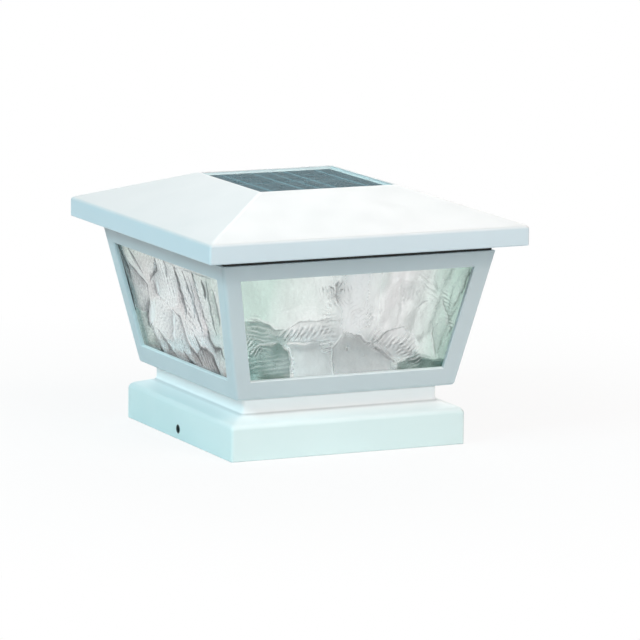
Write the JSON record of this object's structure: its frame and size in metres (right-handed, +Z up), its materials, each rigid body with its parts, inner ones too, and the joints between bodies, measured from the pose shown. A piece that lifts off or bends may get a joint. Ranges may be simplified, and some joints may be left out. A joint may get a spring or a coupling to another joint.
{
  "type": "deck post cap light",
  "caption": "Square post cap light: bevelled collar, lantern flared upwards with textured glass sides, lift-off hip roof with a flush solar panel.",
  "frame": {"origin": "centre of the collar's bottom rim, on the light's vertical axis", "axes": "+Z up along the light's axis, -Y towards the front pane, +X to the right seen from the front"},
  "size_m": [0.181, 0.181, 0.1344],
  "materials": {
    "white_resin": "satin moulded plastic",
    "textured_glass": "hammered relief, clear with a faint green tint",
    "zinc_steel": "zinc plated",
    "black_foam": "closed-cell foam",
    "cover_glass": "tempered, smooth",
    "silicon_cells": "dark silicon strips under a clear laminate",
    "backing_laminate": "matt",
    "green_laminate": "solder mask",
    "black_plastic": "fine matt",
    "coil_copper": "enamelled copper on ferrite",
    "capacitor_sleeve": "shrink sleeve",
    "led_phosphor": "silicone over phosphor",
    "bright_metal": "bright metallised",
    "frosted_lens": "frosted, translucent",
    "cell_sleeve": "shrink sleeve",
    "nickel_steel": "nickel plated",
    "lead_insulation": "red and black insulation"
  },
  "bodies": {
    "lantern": {"base_collar": "white_resin", "floor_screws": "zinc_steel", "lantern_frame": "white_resin", "pane_front": "textured_glass", "pane_right": "textured_glass", "pane_back": "textured_glass", "pane_left": "textured_glass", "pane_clips": "zinc_steel", "clip_screws": "zinc_steel", "roof_gasket": "black_foam"},
    "roof_unit": {"roof_shell": "white_resin", "solar_glass": "cover_glass", "solar_cells": "silicon_cells", "solar_backing": "backing_laminate", "panel_seal": "black_foam", "roof_tray": "white_resin", "tray_screws": "zinc_steel", "circuit_board": "green_laminate", "board_screws": "zinc_steel", "driver_chip": "black_plastic", "power_coil": "coil_copper", "capacitor": "capacitor_sleeve", "leds": "led_phosphor", "reflector": "bright_metal", "lamp_lens": "frosted_lens", "lens_screws": "zinc_steel", "battery_cell": "cell_sleeve", "contact_spring": "nickel_steel", "contact_plates": "nickel_steel", "hinge_pin": "zinc_steel", "switch_body": "black_plastic", "panel_leads": "lead_insulation", "battery_leads": "lead_insulation"},
    "battery_door": {"battery_door": "white_resin"},
    "switch_knob": {"switch_knob": "black_plastic"}
  },
  "joints": [
    {"name": "roof_lift", "type": "slide", "parent": "lantern", "child": "roof_unit", "axis": [0, 0, 1], "range_m": [0, 0.045]},
    {"name": "battery_hinge", "type": "hinge", "parent": "roof_unit", "child": "battery_door", "pos_m": [0, 0.0525, 0.1091], "axis": [1, 0, 0], "range_deg": [0, 90]},
    {"name": "switch_slide", "type": "slide", "parent": "roof_unit", "child": "switch_knob", "axis": [1, 0, 0], "range_m": [0, 0.0025]}
  ]
}
